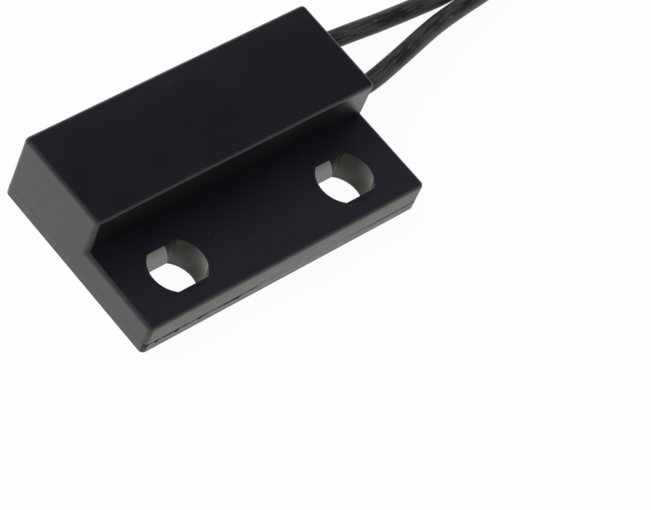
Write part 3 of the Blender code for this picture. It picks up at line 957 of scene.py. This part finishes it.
# what is inside the housing
inside = [
    ("reed_glass", "reedCapsule", glass, "switch_glass"),
    ("reed_blade_left", "reedBladeLeft", reedPlating, "reed_metal"),
    ("reed_blade_right", "reedBladeRight", reedPlating, "reed_metal"),
    ("solder_joint_left", "solderJointLeft", solderBright, "solder"),
    ("solder_joint_right", "solderJointRight", solderBright, "solder"),
    ("core_back", "coreBack", strandTin, "tinned_wire"),
    ("core_front", "coreFront", strandTin, "tinned_wire"),
    ("insulation_back", "innerJacketBack", leadBlack, "lead_jacket"),
    ("insulation_front", "innerJacketFront", leadBlack, "lead_jacket"),
    ("potting_compound", "pottingFill", resin, "potting_resin"),
]
for node, name, finish, slotName in inside:
    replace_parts(pieceFrom(nodeCopy(node), name, finish, 50), node)
print("inside made")


# floor, backdrop and light
studio = {
    "reach": 1.6,
    "sides": 96,
    "below": 0.01 * mm,
    "wall": 0.62,
    "shade": 0.86,
    "glow": 0.92,
    "wallFade": 0.6,
    "mirrored": 1.46,
    # painted shade in the floor that the screw holes' walls mirror: its depth, its lift towards
    # the back, its olive tint and its reach
    "holeShade": 0.66,
    "holeLit": 0.40,
    "holeTint": (1.0, 0.97, 0.80),
    "holeRadius": 2.7 * mm,
    "holeEdge": 0.1 * mm,
    "litFrom": 0.8 * mm,
    "litWidth": 1.2 * mm,
    # painted reflection: the floor mirrored warm in front of the part and neutral behind it
    "neutral": (1.0, 0.99, 1.0),
    "paintedWarmReflection": (0.85, 0.86, 0.79),
    "paintedWarmWidth": 4 * mm,
    "dimAzimuth": 104,
    "dimElevation": 52,
    "dimColour": (0.75, 0.71, 1.0),
    "paleColour": (1.0, 0.99, 0.96),
    "sky": [
        (0.0, 1.0), (0.456, 0.93), (0.578, 0.85), (0.735, 0.68), (0.794, 0.58),
        (0.86, 0.44), (0.9145, 0.28), (0.97, 0.21), (1.0, 0.20),
    ],
}
# each lamp's azimuth, elevation, distance, size and power
lamps = {
    "keyLamp": (-62, 58, 0.9, 0.45, 4.5),
    "fillLamp": (-150, 50, 1.0, 0.5, 1.5),
}


def paleSurround(name):
    # plain white where it is seen, and matt under it, so that it keeps the shadow; where it is
    # mirrored it is brighter, darker up the wall, with a painted warm reflection in front of the
    # part and painted shade with an olive tint under the screw holes
    made = Finish(name)
    tree = made.tree
    tree.nodes.remove(made.shader)
    direct, glossy, through = (
        made.node("ShaderNodeLightPath", output=f"Is {kind} Ray")
        for kind in ("Camera", "Glossy", "Transmission")
    )
    along, across, height = made.axes(made.place(), "XYZ")
    fade = 1 - height.over(studio["wall"] / 2, studio["wall"]) * studio["wallFade"]
    # painted shade: the floor mirrored in a screw hole's walls is darkened as in the housing's
    # own shade, less towards the back of the hole
    outside = holeDistance(along, across).over(studio["holeRadius"], studio["holeEdge"])
    lit = (across - holeY).over(studio["litFrom"], studio["litWidth"])
    fade = fade * (1 - (1 - outside) * (studio["holeShade"] - lit * studio["holeLit"]))
    # painted reflection: warm where the front faces mirror the floor, neutral behind the part
    beyond = across.over(coverLow.y, studio["paintedWarmWidth"])
    tint = made.blend(beyond, studio["paintedWarmReflection"], studio["neutral"])
    # painted reflection: an olive tint on the shaded floor mirrored in the hole walls
    tint = made.blend((1 - outside) * (1 - lit), tint, studio["holeTint"])
    matt = made.node("ShaderNodeBsdfDiffuse", None, {"Color": (studio["shade"],) * 3 + (1,)})
    white = made.node(
        "ShaderNodeEmission",
        None,
        {
            "Color": made.blend(glossy, (1.0, 1.0, 1.0), tint),
            "Strength": glossy * (fade * studio["mirrored"] - 1) + 1,
        },
    )
    seen = (direct + glossy + through) * studio["glow"]
    mixed = made.node("ShaderNodeMixShader", None, {0: seen, 1: matt, 2: white})
    tree.links.new(mixed.socket, tree.nodes["Material Output"].inputs["Surface"])
    return made.material


def makeStudio():
    bm = bmesh.new()
    bmesh.ops.create_circle(bm, cap_ends=True, radius=studio["reach"], segments=studio["sides"])
    rim = [e for e in bm.edges if e.is_boundary]
    wall = bmesh.ops.extrude_edge_only(bm, edges=rim)
    top = [v for v in wall["geom"] if isinstance(v, bmesh.types.BMVert)]
    bmesh.ops.translate(bm, vec=(0, 0, studio["wall"]), verts=top)
    mesh = bpy.data.meshes.new("paleFloor")
    bm.to_mesh(mesh)
    bm.free()
    mesh.materials.append(paleSurround("paleSurround"))
    floor = bpy.data.objects.new("paleFloor", mesh)
    floor.location.z = cadLow.z - studio["below"]
    bpy.context.scene.collection.objects.link(floor)


def makeLamp(name, azimuth, elevation, distance, size, power):
    way = pointing(azimuth, elevation)
    data = bpy.data.lights.new(name, "AREA")
    data.shape = "DISK"
    data.size = size
    data.energy = power
    lamp = bpy.data.objects.new(name, data)
    lamp.location = way * distance
    lamp.rotation_mode = "QUATERNION"
    lamp.rotation_quaternion = way.to_track_quat("Z", "Y")
    lamp.visible_camera = False
    lamp.visible_glossy = False
    bpy.context.scene.collection.objects.link(lamp)


def makeWorld():
    # a white studio that darkens towards one high corner, which the flat tops mirror
    world = bpy.data.worlds.new("studioWorld")
    bpy.context.scene.world = world
    made = Finish("studioSky", world=world)
    corner = pointing(studio["dimAzimuth"], studio["dimElevation"])
    way = made.node("ShaderNodeTexCoord", output="Generated")
    towards = made.vectors("DOT_PRODUCT", way, corner)
    stops = [(place, (level,) * 3) for place, level in studio["sky"]]
    level = made.node("ShaderNodeValToRGB", {"stops": stops}, {"Fac": towards * 0.5 + 0.5})
    sky = made.tree.nodes["Background"]
    colour = made.blend(level, studio["dimColour"], studio["paleColour"])
    made.feed(sky.inputs["Color"], colour)
    made.feed(sky.inputs["Strength"], level)


makeStudio()
makeWorld()
for lampName, plan in lamps.items():
    makeLamp(lampName, *plan)
bpy.context.scene.view_settings.view_transform = "Standard"
print("studio made")
